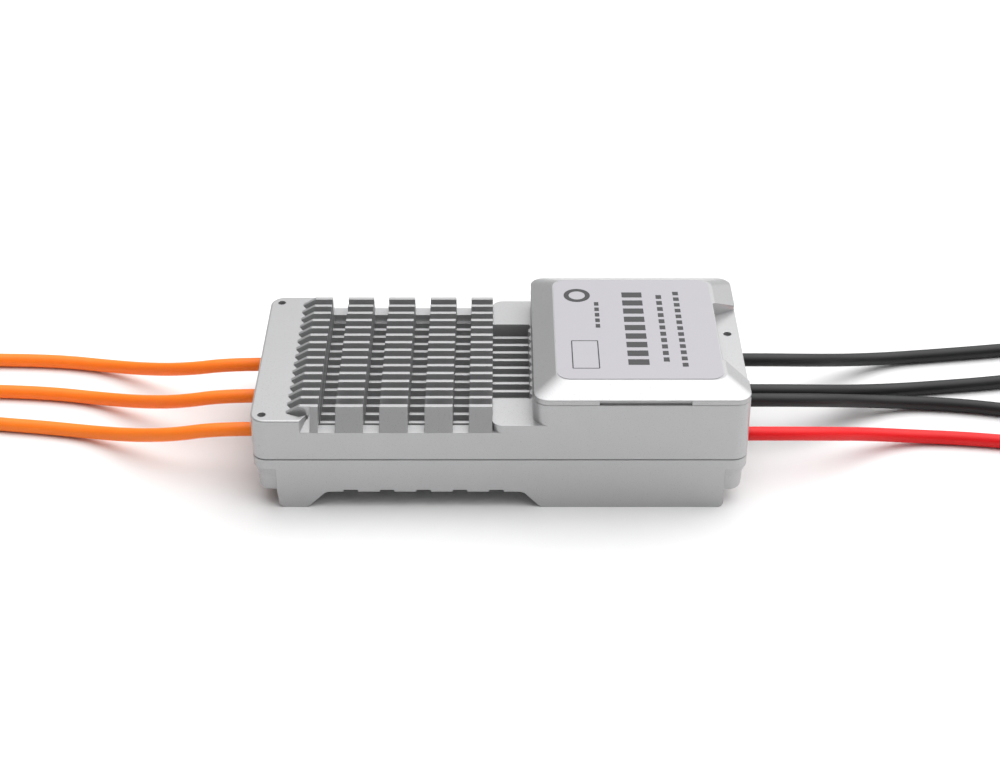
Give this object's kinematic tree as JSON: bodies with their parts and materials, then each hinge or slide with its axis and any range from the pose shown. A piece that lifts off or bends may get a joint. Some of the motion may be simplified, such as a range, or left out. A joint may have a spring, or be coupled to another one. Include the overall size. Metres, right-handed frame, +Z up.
{
  "type": "electronic speed controller",
  "caption": "Silver cast electronic speed controller with a finned deck, a raised capacitor box with a white label, and coloured leads leaving both ends.",
  "frame": {"origin": "centre of the case's footprint on the surface its feet stand on", "axes": "+X towards the battery end, +Y across the case towards its far side, +Z up"},
  "size_m": [0.3685, 0.0915, 0.0419],
  "materials": {
    "case_silver": "satin",
    "gasket_grey": "matte",
    "print_black": "satin",
    "label_white": "satin",
    "screw_steel": "satin",
    "circuit_board": "satin",
    "component_black": "matte",
    "thermal_pad_grey": "matte",
    "capacitor_sleeve": "gloss",
    "copper": "satin",
    "grommet_grey": "matte",
    "lead_black": "satin",
    "lead_red": "satin",
    "lead_orange": "satin",
    "tinned_wire": "satin",
    "plug_black": "matte"
  },
  "bodies": {
    "root": {"upper_case": "case_silver", "lower_case": "case_silver", "case_gasket": "gasket_grey", "capacitor_cover": "case_silver", "top_label": "label_white", "case_screws": "screw_steel", "board_screws": "screw_steel", "main_board": "circuit_board", "power_transistors": "component_black", "thermal_pad": "thermal_pad_grey", "capacitors": "capacitor_sleeve", "capacitor_tie_bars": "copper", "current_shunts": "component_black", "gate_drivers": "component_black", "microcontroller": "component_black", "bus_transceiver": "component_black", "supply_inductor": "component_black", "phase_terminals": "copper", "battery_terminals": "copper", "signal_terminals": "copper", "phase_grommets": "grommet_grey", "battery_grommets": "grommet_grey", "signal_grommet": "grommet_grey", "phase_lead_front": "lead_orange", "phase_lead_middle": "lead_orange", "phase_lead_back": "lead_orange", "battery_lead_negative": "lead_black", "battery_lead_positive": "lead_red", "pwm_cable": "lead_black", "can_cable": "lead_black", "phase_lead_ends": "tinned_wire", "battery_lead_ends": "tinned_wire", "pwm_plug": "plug_black", "can_plug": "plug_black"}
  },
  "joints": []
}
